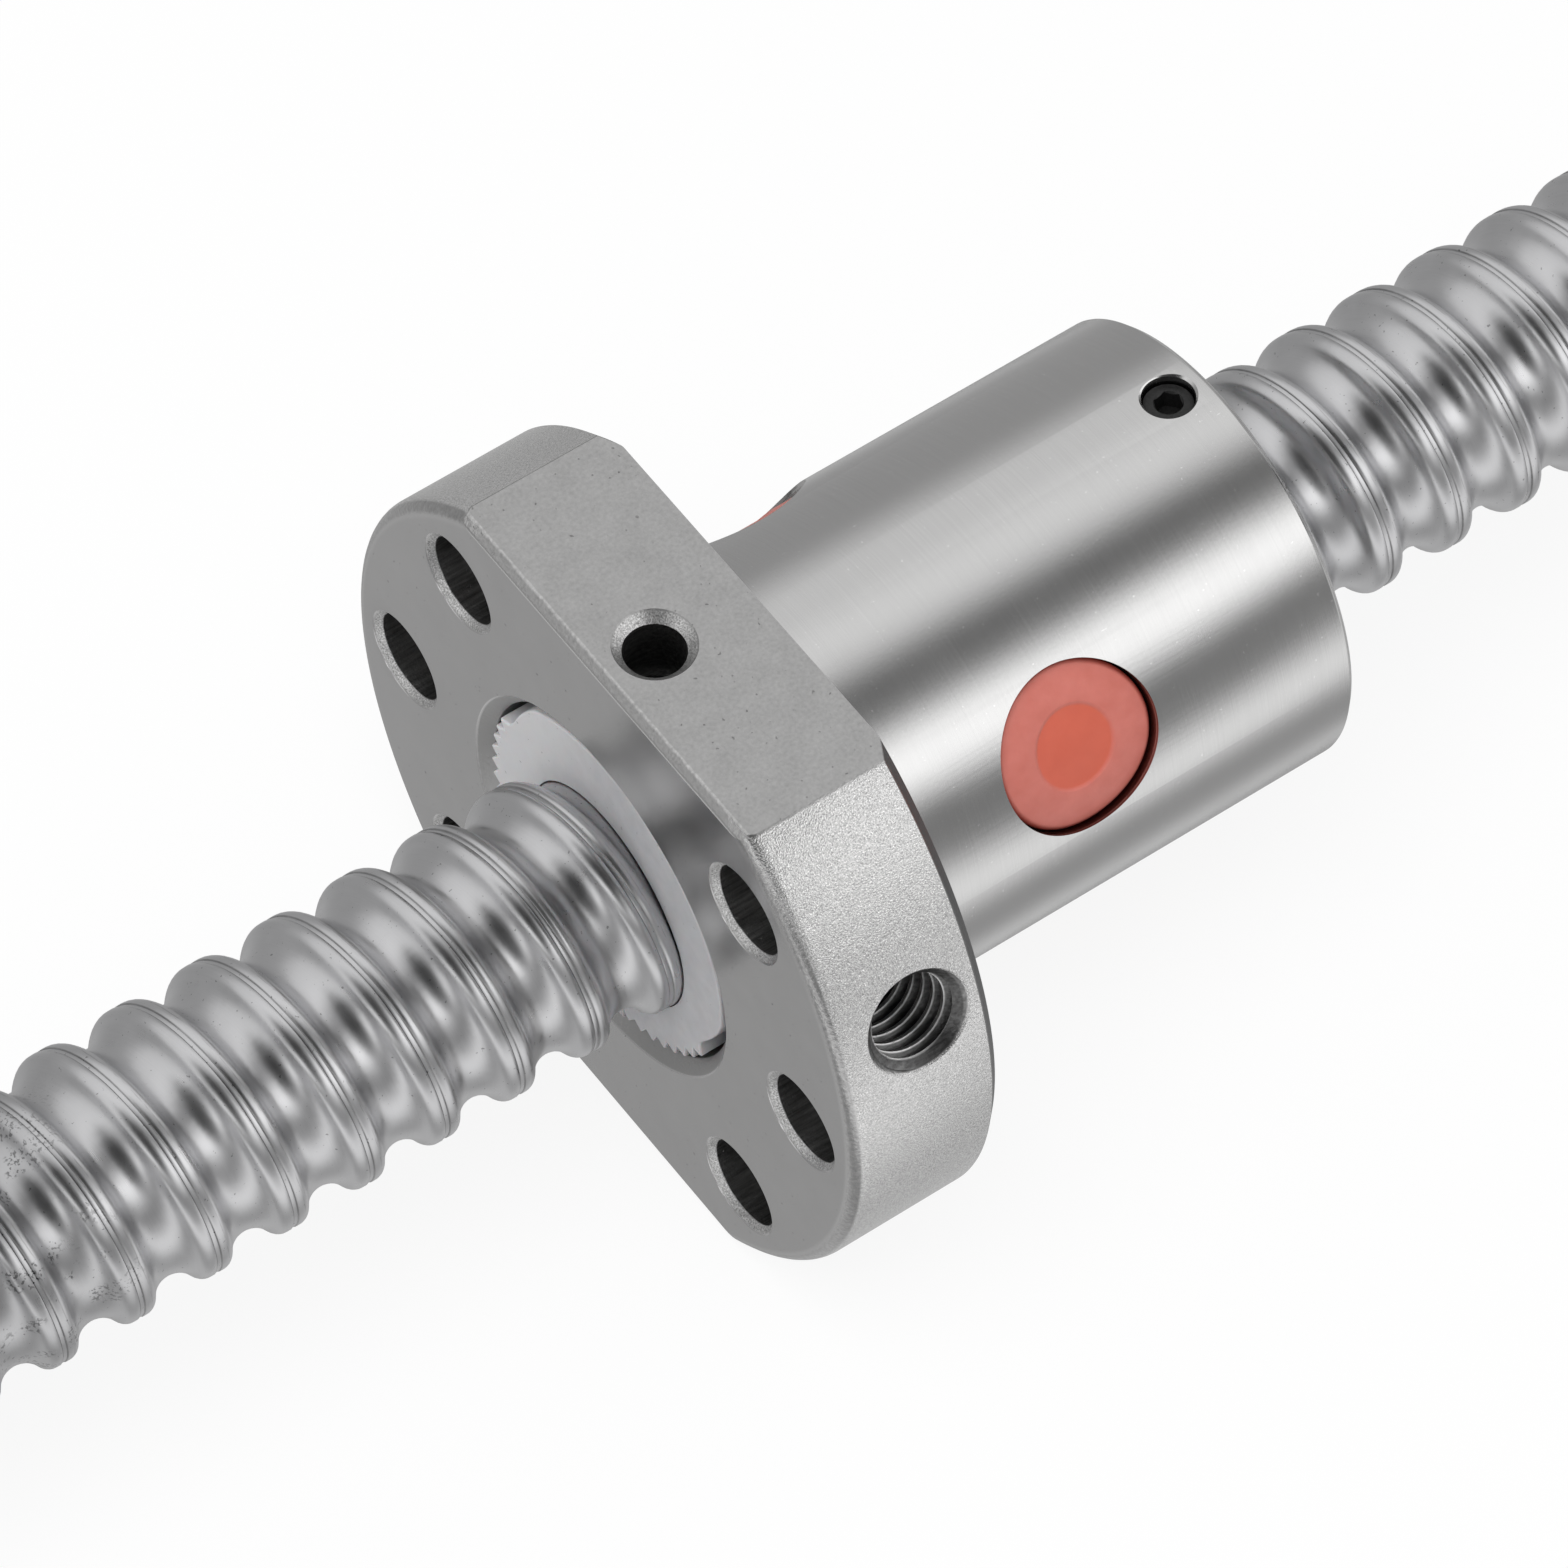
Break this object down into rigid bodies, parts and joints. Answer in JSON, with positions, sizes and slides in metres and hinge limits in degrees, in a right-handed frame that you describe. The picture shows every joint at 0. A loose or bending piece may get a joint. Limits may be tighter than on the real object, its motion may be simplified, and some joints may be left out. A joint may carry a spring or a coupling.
{
  "type": "ball screw nut",
  "caption": "Flanged ball screw nut with plastic ball return caps and wipers, running on a length of its rolled ball screw.",
  "frame": {"origin": "on the axis of the screw, at the back face of the flange, which seats on the machine", "axes": "+X along the screw's axis, from the flange towards the barrel; +Z out of the flange's drilled flat"},
  "size_m": [0.15, 0.048, 0.04],
  "materials": {
    "screw_steel": "rolled and polished steel",
    "nut_steel": "ground and bead blasted steel",
    "ball_steel": "polished bearing steel",
    "black_steel": "black oxide steel",
    "white_plastic": "satin white plastic",
    "red_plastic": "satin red plastic"
  },
  "bodies": {
    "screw": {"screw": "screw_steel"},
    "carrier": {"rear_wiper": "white_plastic"},
    "nut": {"nut_body": "nut_steel", "front_wiper": "white_plastic", "return_cap_1": "red_plastic", "return_cap_2": "red_plastic", "return_cap_3": "red_plastic", "ball_1_01": "ball_steel", "ball_1_02": "ball_steel", "ball_1_03": "ball_steel", "ball_1_04": "ball_steel", "ball_1_05": "ball_steel", "ball_1_06": "ball_steel", "ball_1_07": "ball_steel", "ball_1_08": "ball_steel", "ball_1_09": "ball_steel", "ball_1_10": "ball_steel", "ball_1_11": "ball_steel", "ball_1_12": "ball_steel", "ball_1_13": "ball_steel", "ball_1_14": "ball_steel", "ball_1_15": "ball_steel", "ball_1_16": "ball_steel", "ball_2_01": "ball_steel", "ball_2_02": "ball_steel", "ball_2_03": "ball_steel", "ball_2_04": "ball_steel", "ball_2_05": "ball_steel", "ball_2_06": "ball_steel", "ball_2_07": "ball_steel", "ball_2_08": "ball_steel", "ball_2_09": "ball_steel", "ball_2_10": "ball_steel", "ball_2_11": "ball_steel", "ball_2_12": "ball_steel", "ball_2_13": "ball_steel", "ball_2_14": "ball_steel", "ball_2_15": "ball_steel", "ball_2_16": "ball_steel", "ball_3_01": "ball_steel", "ball_3_02": "ball_steel", "ball_3_03": "ball_steel", "ball_3_04": "ball_steel", "ball_3_05": "ball_steel", "ball_3_06": "ball_steel", "ball_3_07": "ball_steel", "ball_3_08": "ball_steel", "ball_3_09": "ball_steel", "ball_3_10": "ball_steel", "ball_3_11": "ball_steel", "ball_3_12": "ball_steel", "ball_3_13": "ball_steel", "ball_3_14": "ball_steel", "ball_3_15": "ball_steel", "ball_3_16": "ball_steel", "front_set_screw": "black_steel", "rear_set_screw": "black_steel"}
  },
  "joints": [
    {"name": "nut_travel", "type": "slide", "parent": "screw", "child": "carrier", "axis": [1, 0, 0], "range_m": [-0.0701, 0.0301]},
    {"name": "nut_turn", "type": "hinge", "parent": "carrier", "child": "nut", "pos_m": [0, 0, 0], "axis": [1, 0, 0], "range_deg": [-5040, 2160]}
  ],
  "couplings": [
    {"joint": "nut_travel", "follows": "nut_turn", "m_per_rad": 0.00079577}
  ]
}
